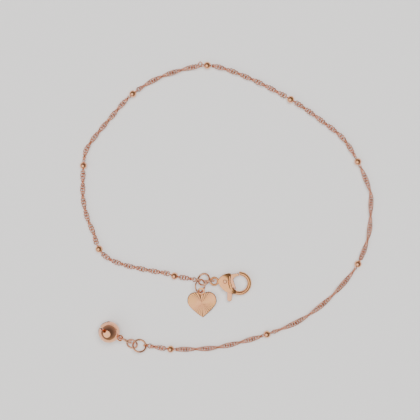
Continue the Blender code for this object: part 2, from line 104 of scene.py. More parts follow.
# %% Camera
PICTURE_WIDTH = 0.105
PICTURE_CENTRE = (-0.0042, -0.00065)
LENS = 100.0
SENSOR = 36.0
NEAREST_SEEN = 0.01

camera_data = bpy.data.cameras.new("Photo view")
camera_data.lens = LENS
camera_data.sensor_width = SENSOR
camera_data.clip_start = NEAREST_SEEN
camera = bpy.data.objects.new("Photo view", camera_data)
bpy.context.scene.collection.objects.link(camera)
camera.location = (*PICTURE_CENTRE, PICTURE_WIDTH * LENS / SENSOR)
bpy.context.scene.camera = camera
print("camera over the table, in mm:", round(camera.location.z / MM, 1))

# %% [markdown]
# Polished metal shows what is around it more than it shows itself, so the studio matters as much as the metal. It
# starts with a pale, plain floor, a hair's breadth below the table's height, so that the two never share one plane.

# %% The floor
FLOOR_SIDE = 4.0
FLOOR_DROP = 0.00002
FLOOR_COLOUR = (0.80, 0.79, 0.78, 1.0)
FLOOR_ROUGHNESS = 0.75

bpy.ops.mesh.primitive_plane_add(size=FLOOR_SIDE, location=(0.0, 0.0, -FLOOR_DROP))
floor = bpy.context.object
floor.name = "floor"
floor_material = bpy.data.materials.new("Pale floor")
floor_material.use_nodes = True
floor_shader = floor_material.node_tree.nodes["Principled BSDF"]
floor_shader.inputs["Base Color"].default_value = FLOOR_COLOUR
floor_shader.inputs["Roughness"].default_value = FLOOR_ROUGHNESS
floor.data.materials.append(floor_material)
print("floor side in m:", FLOOR_SIDE)

# %% [markdown]
# The sky is dim, and darkest overhead. A bright sky would turn every level face white, and its dark part gives the
# metal its depth. How high a direction points drives a colour ramp, so the sky needs no picture.

# %% The sky
SKY_STRENGTH = 0.60
SKY_LOW = (0.05, (0.70, 0.69, 0.68, 1.0))
SKY_HIGH = (0.85, (0.22, 0.22, 0.23, 1.0))

world = bpy.data.worlds.new("Studio")
bpy.context.scene.world = world
world.use_nodes = True
sky_nodes = world.node_tree.nodes
sky_links = world.node_tree.links
sky_nodes.clear()
sky_output = sky_nodes.new("ShaderNodeOutputWorld")
sky_light = sky_nodes.new("ShaderNodeBackground")
sky_light.inputs["Strength"].default_value = SKY_STRENGTH
sky_direction = sky_nodes.new("ShaderNodeTexCoord")
sky_axes = sky_nodes.new("ShaderNodeSeparateXYZ")
sky_ramp = sky_nodes.new("ShaderNodeValToRGB")
for stop, (height, colour) in zip(sky_ramp.color_ramp.elements, (SKY_LOW, SKY_HIGH)):
    stop.position = height
    stop.color = colour
sky_links.new(sky_direction.outputs["Generated"], sky_axes.inputs["Vector"])
sky_links.new(sky_axes.outputs["Z"], sky_ramp.inputs["Fac"])
sky_links.new(sky_ramp.outputs["Color"], sky_light.inputs["Color"])
sky_links.new(sky_light.outputs["Background"], sky_output.inputs["Surface"])
print("sky strength:", SKY_STRENGTH)

# %% [markdown]
# The main light is one very large soft panel. It hangs almost overhead, a little towards the lower left, where the
# photograph's light comes from, so that level faces mirror it. A large panel needs little strength, so its reflection
# keeps the colour of the gold. One more light hangs overhead for the floor alone: the metal doesn't reflect it, or
# every flat top would turn white.

# %% The lights


def soft_light(name, place, width, watts, warmth, reflected=True):
    """A round soft light that points at the middle of the anklet."""
    data = bpy.data.lights.new(name, "AREA")
    data.shape = "DISK"
    data.size = width
    data.energy = watts
    data.color = warmth
    lamp = bpy.data.objects.new(name, data)
    lamp.location = place
    lamp.rotation_euler = (-Vector(place)).to_track_quat("-Z", "Y").to_euler()
    lamp.visible_glossy = reflected
    bpy.context.scene.collection.objects.link(lamp)
    print("light:", name, watts, "W")


soft_light("Panel", place=(-0.31, -0.25, 0.70), width=1.20, watts=5.6, warmth=(1.0, 0.98, 0.96))
soft_light("Overhead", place=(0.10, 0.15, 0.90), width=0.70, watts=10.5, warmth=(1.0, 1.0, 1.0), reflected=False)

# %% [markdown]
# All of the anklet is brass plated with rose gold, but each part was finished in its own way: the links are cut with
# bright facets, the bell and the beads are tumbled to a mirror, the heart is cut with rays, and the clasp is a casting
# that keeps a faint waviness. What they share, the polishing marks and the slight change of tone, is one node group.
# It gives a mask for the colour, a roughness and a height, and each metal sets how strong they are.

# %% A node group for plated metal
TONE_DETAIL = 3.0
SCRATCH_DETAIL = 2.0
SCRATCH_HEADING = math.radians(37)
SCRATCH_STRETCH = 0.45
# The two patterns, multiplied, lie mostly between these
MARKS_LOW = 0.12
MARKS_HIGH = 0.42


def new_socket(group, name, way, kind, value=None):
    """Add one named input or output to a node group."""
    socket = group.interface.new_socket(name=name, in_out=way, socket_type=kind)
    if value is not None:
        socket.default_value = value


def plated_finish():
    """Handling marks, fine scratches and a slow change of tone, on object coordinates in metres."""
    group = bpy.data.node_groups.new("Plated finish", "ShaderNodeTree")
    new_socket(group, "Tone size", "INPUT", "NodeSocketFloat", 500.0)
    new_socket(group, "Scratch size", "INPUT", "NodeSocketFloat", 9000.0)
    new_socket(group, "Roughness low", "INPUT", "NodeSocketFloat", 0.1)
    new_socket(group, "Roughness high", "INPUT", "NodeSocketFloat", 0.2)
    new_socket(group, "Tone", "OUTPUT", "NodeSocketFloat")
    new_socket(group, "Roughness", "OUTPUT", "NodeSocketFloat")
    new_socket(group, "Height", "OUTPUT", "NodeSocketFloat")
    nodes, links = group.nodes, group.links
    entry = nodes.new("NodeGroupInput")
    exit_node = nodes.new("NodeGroupOutput")
    place = nodes.new("ShaderNodeTexCoord")

    tone = nodes.new("ShaderNodeTexNoise")
    tone.inputs["Detail"].default_value = TONE_DETAIL
    links.new(place.outputs["Object"], tone.inputs["Vector"])
    links.new(entry.outputs["Tone size"], tone.inputs["Scale"])

    stretch = nodes.new("ShaderNodeMapping")
    stretch.inputs["Rotation"].default_value = (0.0, 0.0, SCRATCH_HEADING)
    stretch.inputs["Scale"].default_value = (1.0, SCRATCH_STRETCH, 1.0)
    scratches = nodes.new("ShaderNodeTexNoise")
    scratches.inputs["Detail"].default_value = SCRATCH_DETAIL
    links.new(place.outputs["Object"], stretch.inputs["Vector"])
    links.new(stretch.outputs["Vector"], scratches.inputs["Vector"])
    links.new(entry.outputs["Scratch size"], scratches.inputs["Scale"])

    marks = nodes.new("ShaderNodeMath")
    marks.operation = "MULTIPLY"
    links.new(tone.outputs["Fac"], marks.inputs[0])
    links.new(scratches.outputs["Fac"], marks.inputs[1])
    spread = nodes.new("ShaderNodeMapRange")
    spread.inputs["From Min"].default_value = MARKS_LOW
    spread.inputs["From Max"].default_value = MARKS_HIGH
    links.new(marks.outputs["Value"], spread.inputs["Value"])
    links.new(entry.outputs["Roughness low"], spread.inputs["To Min"])
    links.new(entry.outputs["Roughness high"], spread.inputs["To Max"])

    links.new(tone.outputs["Fac"], exit_node.inputs["Tone"])
    links.new(spread.outputs["Result"], exit_node.inputs["Roughness"])
    links.new(scratches.outputs["Fac"], exit_node.inputs["Height"])
    return group


PLATED = plated_finish()
print("sockets of the finish:", [item.name for item in PLATED.interface.items_tree])

# %% [markdown]
# A metal is then a few numbers: its two tones, how rough it is at its best and at its most handled, how big the
# patches are, and how deep the marks go. The tones run from the pink of new plating to the yellower gold that shows
# where it has been handled.

# %% How a plated metal is made
PINK_UNTIL = 0.35
GOLD_FROM = 0.68
SCRATCH_SIZE = 9000.0
MARK_HEIGHT = 0.00001


def plated_metal(name, pink, gold, roughness, tone_size, depth):
    """A metal from its two tones, its roughness from best to worst, its patches' scale and its marks' depth."""
    metal = bpy.data.materials.new(name)
    metal.use_nodes = True
    nodes, links = metal.node_tree.nodes, metal.node_tree.links
    shader = nodes["Principled BSDF"]
    shader.inputs["Metallic"].default_value = 1.0
    finish = nodes.new("ShaderNodeGroup")
    finish.node_tree = PLATED
    finish.inputs["Tone size"].default_value = tone_size
    finish.inputs["Scratch size"].default_value = SCRATCH_SIZE
    finish.inputs["Roughness low"].default_value = roughness[0]
    finish.inputs["Roughness high"].default_value = roughness[1]
    tones = nodes.new("ShaderNodeValToRGB")
    tones.color_ramp.elements[0].position = PINK_UNTIL
    tones.color_ramp.elements[0].color = (*pink, 1.0)
    tones.color_ramp.elements[1].position = GOLD_FROM
    tones.color_ramp.elements[1].color = (*gold, 1.0)
    bump = nodes.new("ShaderNodeBump")
    bump.inputs["Strength"].default_value = depth
    bump.inputs["Distance"].default_value = MARK_HEIGHT
    links.new(finish.outputs["Tone"], tones.inputs["Fac"])
    links.new(tones.outputs["Color"], shader.inputs["Base Color"])
    links.new(finish.outputs["Roughness"], shader.inputs["Roughness"])
    links.new(finish.outputs["Height"], bump.inputs["Height"])
    links.new(bump.outputs["Normal"], shader.inputs["Normal"])
    print("metal:", name)
    return metal


# %% [markdown]
# The eight metals take their numbers from the photograph. The chain is the deepest in colour. The heart and the clasp
# are the warmest, the drawn wire of the rings is a little pinker, and the bell and the beads are the smoothest. All
# the marks stay faint, because metal this bright shows a bump of a few hundredths.

# %% The eight metals
PINK = (0.92, 0.44, 0.27)
GOLD = (0.90, 0.46, 0.22)
chain_metal = plated_metal("Cut links", (0.83, 0.40, 0.27), (0.79, 0.39, 0.23), (0.14, 0.26), 400.0, depth=0.02)
bead_metal = plated_metal("Tumbled beads", PINK, GOLD, (0.10, 0.20), 700.0, depth=0.02)
ring_metal = plated_metal("Drawn wire", (0.91, 0.48, 0.33), (0.88, 0.48, 0.27), (0.12, 0.24), 500.0, depth=0.03)
bell_metal = plated_metal("Mirror bell", PINK, GOLD, (0.09, 0.18), 350.0, depth=0.02)
heart_metal = plated_metal("Cut heart", (0.94, 0.45, 0.22), (0.92, 0.47, 0.19), (0.16, 0.26), 350.0, depth=0.02)
clasp_metal = plated_metal("Cast clasp", (0.93, 0.43, 0.21), (0.91, 0.46, 0.18), (0.12, 0.22), 300.0, depth=0.03)
lever_metal = plated_metal("Pressed lever", PINK, GOLD, (0.14, 0.24), 400.0, depth=0.02)
rivet_metal = plated_metal("Turned rivet", (0.92, 0.48, 0.30), (0.90, 0.49, 0.25), (0.10, 0.20), 900.0, depth=0.02)

# %% [markdown]
# The chain runs along one smooth curve, from the clasp round to the bell. A few points give the curve, and the space
# between them is filled in so that it passes through each one without a kink. Everything on the chain is then placed
# by how far along the curve it lies.

# %% The route of the chain
CHAIN_ROUTE = [
    (-8.00, -18.00), (-10.20, -17.60), (-12.68, -17.20), (-14.98, -16.45), (-18.10, -15.95),
    (-21.58, -15.27), (-25.68, -14.30), (-29.58, -12.70), (-32.00, -10.10), (-33.20, -6.50),
    (-34.65, -3.07), (-35.60, 0.60), (-35.95, 4.40), (-35.55, 12.23), (-34.15, 15.93),
    (-29.23, 22.05), (-24.05, 27.78), (-17.80, 31.93), (-10.68, 34.45), (-4.85, 35.40),
    (0.30, 34.30), (6.90, 31.65), (12.80, 28.67), (18.33, 25.42), (23.63, 21.60),
    (29.00, 17.18), (32.65, 11.40), (35.65, 4.33), (35.92, 0.60), (35.37, -6.88),
    (32.80, -13.87), (28.38, -19.80), (23.22, -24.75), (17.30, -28.73), (10.63, -31.40),
    (3.87, -33.52), (-3.43, -35.05), (-11.35, -35.40), (-15.62, -35.15), (-19.25, -34.57),
]


def smooth_curve(points, steps=16, closed=False):
    """Points along one smooth curve that passes through all of the given points."""
    points = [np.array(point, float) for point in points]
    if closed:
        padded = [points[-1], *points, points[0], points[1]]
    else:
        padded = [2 * points[0] - points[1], *points, 2 * points[-1] - points[-2]]
    result = []
    for before, start, end, after in zip(padded, padded[1:], padded[2:], padded[3:]):
        for step in range(steps):
            t = step / steps
            result.append(0.5 * (2 * start + (end - before) * t + (2 * before - 5 * start + 4 * end - after) * t * t
                                 + (3 * start - before - 3 * end + after) * t ** 3))
    if not closed:
        result.append(points[-1])
    return np.array(result)


path = smooth_curve(CHAIN_ROUTE)
path_distance = np.concatenate([[0.0], np.cumsum(np.linalg.norm(np.diff(path, axis=0), axis=1))])
chain_length = float(path_distance[-1])
print("chain length in mm:", round(chain_length, 1))

# %% [markdown]
# The beads sit at ten places along the route, measured from the clasp's end. A bead is thicker than the chain, so near
# each one the chain rises a little from the table, to meet the bead's middle. At every place the chain has three
# directions of its own: ahead, sideways and up. The points just before and after it give the first.

# %% Places along the chain
BEAD_STATIONS = [5.15, 25.6, 47.1, 69.3, 89.5, 112.1, 135.3, 162.0, 191.3, 215.8]
CHAIN_WIDTH = 1.4
BEAD_DIAMETER = 1.8
PIECE_GAP = 0.3
RISE_LENGTH = 2.5
TABLE_GAP = 0.02
LOOK_AHEAD = 0.2


def chain_point(distance):
    """Where the chain's middle lies, this far along. Past an end it goes straight on."""
    inside = min(max(distance, 0.0), chain_length)
    x = float(np.interp(inside, path_distance, path[:, 0]))
    y = float(np.interp(inside, path_distance, path[:, 1]))
    if inside != distance:
        last = path[1] - path[0] if distance < 0 else path[-1] - path[-2]
        last = last / np.linalg.norm(last) * (distance - inside)
        x, y = x + float(last[0]), y + float(last[1])
    nearest = min(abs(distance - station) for station in BEAD_STATIONS) - BEAD_DIAMETER / 2 - PIECE_GAP
    rise = min(1.0, max(0.0, 1.0 - nearest / RISE_LENGTH))
    low, high = CHAIN_WIDTH / 2 + TABLE_GAP, BEAD_DIAMETER / 2 + TABLE_GAP
    return Vector((x, y, low + (high - low) * rise))


def on_chain(distance, turn=0.0):
    """The place of a thing on the chain: its X points along the chain, and it is turned about the chain."""
    ahead = (chain_point(distance + LOOK_AHEAD) - chain_point(distance - LOOK_AHEAD)).normalized()
    side = Vector((0.0, 0.0, 1.0)).cross(ahead).normalized()
    above = ahead.cross(side)
    facing = Matrix((ahead, side, above)).transposed().to_4x4()
    return Matrix.Translation(chain_point(distance)) @ facing @ Matrix.Rotation(math.radians(turn), 4, "X")


print("first bead in mm:", [round(part, 2) for part in chain_point(BEAD_STATIONS[0])])

# %% [markdown]
# A curb link is an oval of wire that has been twisted, so that it dips under its neighbour on one side and rides over
# it on the other. This chain is also twisted as a whole: each link is turned a little from the last one, so its
# outline swells where the links lie flat and narrows where they stand on edge. The links are cut with bright facets,
# which a torus with few sides and flat faces already has. Each vertex of the torus moves to its place on the twisted
# oval. A plainer, tapered oval gives the small links that hold the beads.

# %% One curb link and one small link
LINK_HALF_LENGTH = 0.46
LINK_HALF_WIDTH = 0.565
LINK_TWIST = 0.16
LINK_WIRE = 0.26
SMALL_HALF_LENGTH = 0.46
SMALL_HALF_WIDTH = 0.28
SMALL_TAPER = 0.09
SMALL_WIRE = 0.20
LINK_SECTIONS = 12
CURB_SIDES = 6
SMALL_SIDES = 5
ANGLE_STEP = 0.01


def wire_loop(centre_line, wire, segments, sides):
    """A torus whose every ring of vertices moves to where centre_line(angle) puts it."""
    bpy.ops.mesh.primitive_torus_add(major_radius=1.0, minor_radius=wire / 2, major_segments=segments,
                                     minor_segments=sides)
    loop = bpy.context.object
    for vertex in loop.data.vertices:
        angle = math.atan2(vertex.co.y, vertex.co.x)
        middle = Vector((math.cos(angle), math.sin(angle), 0.0))
        out = vertex.co - middle
        along = (Vector(centre_line(angle + ANGLE_STEP)) - Vector(centre_line(angle - ANGLE_STEP))).normalized()
        outward = (middle - along * middle.dot(along)).normalized()
        above = along.cross(outward)
        if above.z < 0:
            above.negate()
        vertex.co = Vector(centre_line(angle)) + outward * out.dot(middle) + above * out.z
    return loop


def curb_line(angle):
    """The middle of the wire of the twisted oval, at this angle."""
    return (LINK_HALF_LENGTH * math.cos(angle), LINK_HALF_WIDTH * math.sin(angle), LINK_TWIST * math.sin(2 * angle))


def small_line(angle):
    """The middle of the wire of the small link, which is wider at the chain than in the bead."""
    width = SMALL_HALF_WIDTH + SMALL_TAPER * math.cos(angle)
    return (SMALL_HALF_LENGTH * math.cos(angle), width * math.sin(angle), 0.0)


curb_link = wire_loop(curb_line, LINK_WIRE, LINK_SECTIONS, CURB_SIDES)
small_link = wire_loop(small_line, SMALL_WIRE, LINK_SECTIONS, SMALL_SIDES)
print("faces in one link:", len(curb_link.data.polygons))

# %% [markdown]
# One link of each kind is enough, because a stretch of chain is one mesh: the link's points are copied along the route,
# each copy turned a little further. The two model links are turned into plain arrays for that, and then removed.

# %% Many copies in one mesh


def mesh_arrays(piece):
    """The points and faces of a piece, for copying."""
    points = np.array([vertex.co for vertex in piece.data.vertices])
    faces = np.array([face.vertices for face in piece.data.polygons])
    return points, faces


CURB_POINTS, CURB_FACES = mesh_arrays(curb_link)
SMALL_POINTS, SMALL_FACES = mesh_arrays(small_link)
bpy.data.objects.remove(curb_link, do_unlink=True)
bpy.data.objects.remove(small_link, do_unlink=True)
print("points in a curb link and in a small one:", len(CURB_POINTS), len(SMALL_POINTS))


def joined_copies(name, copies):
    """One mesh of many copies. Each copy is its points, its faces and its place."""
    all_points, all_faces, count = [], [], 0
    for points, faces, place in copies:
        turned = np.array(place.to_3x3())
        all_points.append(points @ turned.T + np.array(place.translation))
        all_faces.append(faces + count)
        count += len(points)
    mesh = bpy.data.meshes.new(name)
    mesh.from_pydata(np.vstack(all_points).tolist(), [], np.vstack(all_faces).tolist())
    mesh.update()
    piece = bpy.data.objects.new(name, mesh)
    bpy.context.scene.collection.objects.link(piece)
    return piece


# %% [markdown]
# A chain that lies loose keeps more twist in some stretches than in others, so a short table gives how far apart the
# swells of each stretch lie, and the place of one of them. In the first and the last stretch the end link gives the
# turn instead, because a ring's wire has to run through it. Near each bead, a small tapered link goes from the last
# curb link into the bead's hole. At the top of the loop one link has slipped out sideways before its bead and lies
# flat.

# %% Lay the links along the route
LINK_PITCH = 0.62
# For each stretch, in mm along the route: from one swell to the next, and where one swell lies, unless an end link
# gives the turn
SWELLS = [
    (3.4, None), (3.2, 7.25), (3.4, 27.8), (3.6, 51.3), (5.1, 70.4), (3.5, 92.6), (3.4, 114.5), (6.2, 140.4),
    (7.8, 168.4), (5.6, 195.7), (3.4, None),
]
FIRST_LINK_SHIFT = 0.05
LAST_LINK_SHIFT = 0.05
FIRST_TURN = -32.4
LAST_TURN = 30.0
SLIPPED_STRETCH = 5
SLIPPED_BY = Vector((0.08, 0.40, 0.08))
SMALL_LINK_REACH = 1.18
BEAD_ROOM = BEAD_DIAMETER / 2 + PIECE_GAP


def link_turns(number, first, last):
    """The turn of a stretch's first link, in degrees, and how much it changes in each millimetre."""
    swell_spacing, swell_place = SWELLS[number - 1]
    turn_per_mm = -180.0 / swell_spacing
    if number == 1:
        return FIRST_TURN, turn_per_mm
    if number == len(SWELLS):
        return LAST_TURN - (last - first) * turn_per_mm, turn_per_mm
    return (first - swell_place) * turn_per_mm, turn_per_mm


def lay_stretch(number, start, end):
    """Make one stretch of links, with the small links into the beads beside it, and count its curb links."""
    first = start + LINK_HALF_LENGTH + LINK_WIRE / 2
    last = end - LINK_HALF_LENGTH - LINK_WIRE / 2
    if number == 1:
        first = start + FIRST_LINK_SHIFT
    if number == len(SWELLS):
        last = end + LAST_LINK_SHIFT
    count = max(1, round((last - first) / LINK_PITCH))
    pitch = (last - first) / count
    turn, turn_per_mm = link_turns(number, first, last)
    copies = []
    for step in range(count + 1):
        place = on_chain(first + step * pitch, turn + step * pitch * turn_per_mm)
        if number == SLIPPED_STRETCH and step == count:
            place = on_chain(last) @ Matrix.Translation(SLIPPED_BY)
        copies.append((CURB_POINTS, CURB_FACES, place))
    about_face = Matrix.Rotation(math.pi, 4, "Z")
    if number > 1:
        bead = BEAD_STATIONS[number - 2]
        copies.append((SMALL_POINTS, SMALL_FACES, on_chain(bead + SMALL_LINK_REACH, turn + 90.0)))
    if number <= len(BEAD_STATIONS):
        bead = BEAD_STATIONS[number - 1]
        end_turn = turn + (last - first) * turn_per_mm + 90.0
        copies.append((SMALL_POINTS, SMALL_FACES, on_chain(bead - SMALL_LINK_REACH, end_turn) @ about_face))
    piece = joined_copies(f"curb_links_{number:02d}", copies)
    settle(piece, piece.name, Matrix.Identity(4), chain_metal, [f"chain_{number:02d}"])
    return count + 1


stretch_starts = [0.0] + [station + BEAD_ROOM for station in BEAD_STATIONS]
stretch_ends = [station - BEAD_ROOM for station in BEAD_STATIONS] + [chain_length]
link_total = 0
for stretch_number, (stretch_start, stretch_end) in enumerate(zip(stretch_starts, stretch_ends), start=1):
    link_total += lay_stretch(stretch_number, stretch_start, stretch_end)
print("curb links:", link_total)

# %% [markdown]
# The other pieces are edited as by hand, and that takes a few more helpers. They pick vertices or faces by their place,
# point all faces outwards, and round the sharp edges with a Bevel modifier.

# %% Helpers for editing


def clear_picks(piece, by_faces):
    """Select nothing, and pick by faces or by vertices from here on."""
    choose(piece)
    bpy.context.tool_settings.mesh_select_mode = (not by_faces, False, by_faces)
    bpy.ops.object.mode_set(mode="EDIT")
    bpy.ops.mesh.select_all(action="DESELECT")
    bpy.ops.object.mode_set(mode="OBJECT")


def pick_vertices(piece, test):
    """Select the vertices whose place passes the test, and go to edit mode."""
    clear_picks(piece, by_faces=False)
    for vertex in piece.data.vertices:
        vertex.select = test(vertex.co)
    bpy.ops.object.mode_set(mode="EDIT")


def pick_faces(piece, test):
    """Select the faces that pass the test, and go to edit mode."""
    clear_picks(piece, by_faces=True)
    for face in piece.data.polygons:
        face.select = test(face)
    bpy.ops.object.mode_set(mode="EDIT")


def turn_faces_out():
    """Point all faces outwards, and leave edit mode."""
    bpy.ops.mesh.select_all(action="SELECT")
    bpy.ops.mesh.normals_make_consistent(inside=False)
    bpy.ops.object.mode_set(mode="OBJECT")


def round_edges(piece, name, width, segments, sharper_than=30.0):
    """Round the edges that are sharper than this angle, in degrees."""
    edge = piece.modifiers.new(name, "BEVEL")
    edge.width = width
    edge.segments = segments
    edge.limit_method = "ANGLE"
    edge.angle_limit = math.radians(sharper_than)
    apply_modifiers(piece)


# %% [markdown]
# The beads are small round balls, drilled through for the chain. A sphere gives the ball. The vertices round each pole
# are deleted, and the two open edges are bridged, which makes the wall of the hole. A narrow bevel breaks its sharp
# edge, as tumbling does.

# %% The beads
BEAD_BORE = 0.56
BEAD_EDGE = 0.03


def make_bead():
    """One drilled bead, with its hole along Z."""
    bpy.ops.mesh.primitive_uv_sphere_add(segments=32, ring_count=24, radius=BEAD_DIAMETER / 2)
    bead = bpy.context.object
    pick_vertices(bead, lambda co: math.hypot(co.x, co.y) < BEAD_BORE / 2)
    bpy.ops.mesh.delete(type="VERT")
    bpy.ops.mesh.select_non_manifold()
    bpy.ops.mesh.bridge_edge_loops()
    turn_faces_out()
    round_edges(bead, "Broken edge", BEAD_EDGE, segments=2, sharper_than=50.0)
    bpy.ops.object.shade_smooth_by_angle(angle=math.radians(35))
    return bead


bead_model = make_bead()
for bead_number, bead_station in enumerate(BEAD_STATIONS, start=1):
    bead = bead_model.copy()
    bead.data = bead_model.data.copy()
    bpy.context.scene.collection.objects.link(bead)
    drilled_along = on_chain(bead_station) @ Matrix.Rotation(math.pi / 2, 4, "Y")
    settle(bead, f"drilled_bead_{bead_number:02d}", drilled_along, bead_metal, [f"bead_{bead_number:02d}"])
bpy.data.objects.remove(bead_model, do_unlink=True)

# %% [markdown]
# Jump rings are round wire, bent into a ring and closed so that its two cut ends meet. A torus gives the ring, with
# more sides than its solid has. At the joint, three sections of the wire are drawn together and the middle one is
# pinched, which leaves the fine seam that a closed jump ring has.

# %% How a jump ring is made
SEAM_WIDTH = 0.03
SEAM_PINCH = 0.90
RING_SECTIONS = 56
RING_SIDES = 14


def pinch_seam(ring, radius, seam):
    """Make the seam at this angle of the ring, in degrees."""
    step = 360.0 / RING_SECTIONS
    nearest = round(seam / step) * step
    for vertex in ring.data.vertices:
        angle = math.degrees(math.atan2(vertex.co.y, vertex.co.x))
        away = (angle - nearest + 180.0) % 360.0 - 180.0
        if abs(away) < 1.5 * step:
            sign = round(away / step)
            new_angle = math.radians(nearest + sign * math.degrees(SEAM_WIDTH / radius))
            old_middle = Vector((math.cos(math.radians(angle)), math.sin(math.radians(angle)), 0.0)) * radius
            new_middle = Vector((math.cos(new_angle), math.sin(new_angle), 0.0)) * radius
            out = Matrix.Rotation(new_angle - math.radians(angle), 3, "Z") @ (vertex.co - old_middle)
            vertex.co = new_middle + out * (SEAM_PINCH if sign == 0 else 1.0)


def jump_ring(radius, wire, seam=None):
    """A flat ring of round wire, with its seam at this angle if it has one."""
    bpy.ops.mesh.primitive_torus_add(major_radius=radius, minor_radius=wire / 2, major_segments=RING_SECTIONS,
                                     minor_segments=RING_SIDES)
    ring = bpy.context.object
    if seam is not None:
        pinch_seam(ring, radius, seam)
    bpy.ops.object.shade_smooth()
    return ring


# %% [markdown]
# Each ring leans on its neighbours, so it has a tilt, and a compass direction towards which it rises. Where a ring's
# lower side rests on the table, its height follows from its tilt. The two end links of the chain are such rings too,
# only smaller and without a seam.

# %% The jump rings
# Name, node, radius, wire, place with its height unless it rests on the table, tilt, uphill, seam
RINGS = [
    ("end_jump_ring", "end_ring", 1.6, 0.5, (-21.79, -34.48, None), 26.3, 249.4, 200.0),
    ("middle_jump_ring", "middle_ring", 1.31, 0.45, (-23.63, -34.02, None), 34.5, 67.2, 250.0),
    ("clasp_side_jump_ring", "clasp_side_ring", 1.5, 0.5, (-5.79, -17.91, None), 33.5, -50.1, 110.0),
    ("charm_jump_ring", "charm_ring", 1.6, 0.4, (-6.67, -19.52, 1.34), 44.0, 175.75, 20.0),
    ("clasp_jump_ring", "clasp_ring", 1.14, 0.4, (-4.34, -18.28, 1.39), 90.0, 90.0, 60.0),
    ("bell_end_link", "end_link_a", 0.55, 0.3, (-20.22, -34.38, 0.67), 60.0, 99.0, None),
    ("clasp_end_link", "end_link_b", 0.55, 0.3, (-7.19, -18.20, 0.64), 57.6, 86.1, None),
]


def lying_height(radius, wire, tilt):
    """How high the middle of a leaning ring is when its lowest point is just over the table."""
    return radius * math.sin(math.radians(tilt)) + wire / 2 + TABLE_GAP


for ring_name, ring_node, ring_radius, ring_wire, (ring_x, ring_y, ring_height), tilt, uphill, ring_seam in RINGS:
    if ring_height is None:
        ring_height = lying_height(ring_radius, ring_wire, tilt)
    ring = jump_ring(ring_radius, ring_wire, ring_seam)
    lean = Matrix.Rotation(math.radians(uphill), 4, "Z") @ Matrix.Rotation(-math.radians(tilt), 4, "Y")
    ring_at = Matrix.Translation((ring_x, ring_y, ring_height))
    settle(ring, ring_name, ring_at @ lean, ring_metal, [ring_node])

# %% [markdown]
# The link between the bell and the middle ring is a little longer than it is wide, and it stands nearly on edge. It is
# the same bent wire, pulled out along one side.

# %% The bell's link
BELL_LINK_LENGTH = 3.0
BELL_LINK_WIDTH = 2.64
BELL_LINK_WIRE = 0.45
BELL_LINK_SEAM = 150.0
BELL_LINK_PLACE = (-25.21, -33.06, 1.58)
BELL_LINK_HEADING = -25.8
BELL_LINK_DIP = 19.8
BELL_LINK_LEAN = 3.2

bell_link = jump_ring(BELL_LINK_WIDTH / 2, BELL_LINK_WIRE, BELL_LINK_SEAM)
bell_link.data.transform(Matrix.Scale(BELL_LINK_LENGTH / BELL_LINK_WIDTH, 4, (1.0, 0.0, 0.0)))
link_turned = Matrix.Rotation(math.radians(BELL_LINK_HEADING), 4, "Z")
link_dipped = Matrix.Rotation(math.radians(BELL_LINK_DIP), 4, "Y")
link_upright = Matrix.Rotation(math.radians(90.0 - BELL_LINK_LEAN), 4, "X")
settle(bell_link, "oval_bell_link", Matrix.Translation(BELL_LINK_PLACE) @ (link_turned @ link_dipped) @ link_upright,
       ring_metal, ["bell_link"])

# %% [markdown]
# The bell is a thin hollow ball, with two slots that cross at its lower pole and end in round holes. It is modelled
# with that pole down: a ball, hollowed by a smaller ball, and cut by two bars and four drills. Each cut is a boolean,
# and a helper applies it and throws the tool away.

# %% The bell's shell
BELL_DIAMETER = 5.3
BELL_WALL = 0.3
SLOT_WIDTH = 0.45
SLOT_REACH = math.radians(54.0)
# How far below the bell's middle the bars end, in radii
BAR_BOTTOM = 1.15
HOLE_DIAMETER = 0.95


def cut_or_join(piece, tool, operation):
    """Apply one boolean and throw the tool away."""
    modifier = piece.modifiers.new(operation.title(), "BOOLEAN")
    modifier.operation = operation
    modifier.object = tool
    apply_modifiers(piece)
    bpy.data.objects.remove(tool, do_unlink=True)


bell_radius = BELL_DIAMETER / 2
bpy.ops.mesh.primitive_uv_sphere_add(segments=96, ring_count=64, radius=bell_radius)
bell = bpy.context.object
bpy.ops.mesh.primitive_uv_sphere_add(segments=64, ring_count=48, radius=bell_radius - BELL_WALL)
cut_or_join(bell, bpy.context.object, "DIFFERENCE")
slot_depth = bell_radius * (BAR_BOTTOM - math.cos(SLOT_REACH))
slot_middle = -bell_radius * math.cos(SLOT_REACH) - slot_depth / 2
for quarter in (0.0, math.pi / 2):
    bpy.ops.mesh.primitive_cube_add(size=1.0)
    bar = bpy.context.object
    bar.data.transform(Matrix.Diagonal((2 * bell_radius * math.sin(SLOT_REACH), SLOT_WIDTH, slot_depth, 1.0)))
    bar.data.transform(Matrix.Rotation(quarter, 4, "Z") @ Matrix.Translation((0.0, 0.0, slot_middle)))
    cut_or_join(bell, bar, "DIFFERENCE")
for quarter in range(4):
    bpy.ops.mesh.primitive_cylinder_add(vertices=32, radius=HOLE_DIAMETER / 2, depth=bell_radius)
    drill = bpy.context.object
    aim = Matrix.Rotation(quarter * math.pi / 2, 4, "Z") @ Matrix.Rotation(math.pi - SLOT_REACH, 4, "Y")
    drill.data.transform(aim @ Matrix.Translation((0.0, 0.0, bell_radius)))
    cut_or_join(bell, drill, "DIFFERENCE")
print("shell:", len(bell.data.polygons), "faces")

# %% [markdown]
# A soldered loop tops the bell: a small torus that stands on edge, joined to the shell. Then the bell is turned onto
# its side, because it lies on the table, with its loop towards the link that holds it.

# %% The bell's loop, and its place
BELL_LOOP_RADIUS = 0.62
BELL_LOOP_WIRE = 0.40
BELL_LOOP_TURN = math.radians(-3.0)
BELL_MIDDLE = Vector((-29.20, -30.90, BELL_DIAMETER / 2 + TABLE_GAP))
BELL_LOOP_MIDDLE = Vector((-26.51, -32.46, 1.97))

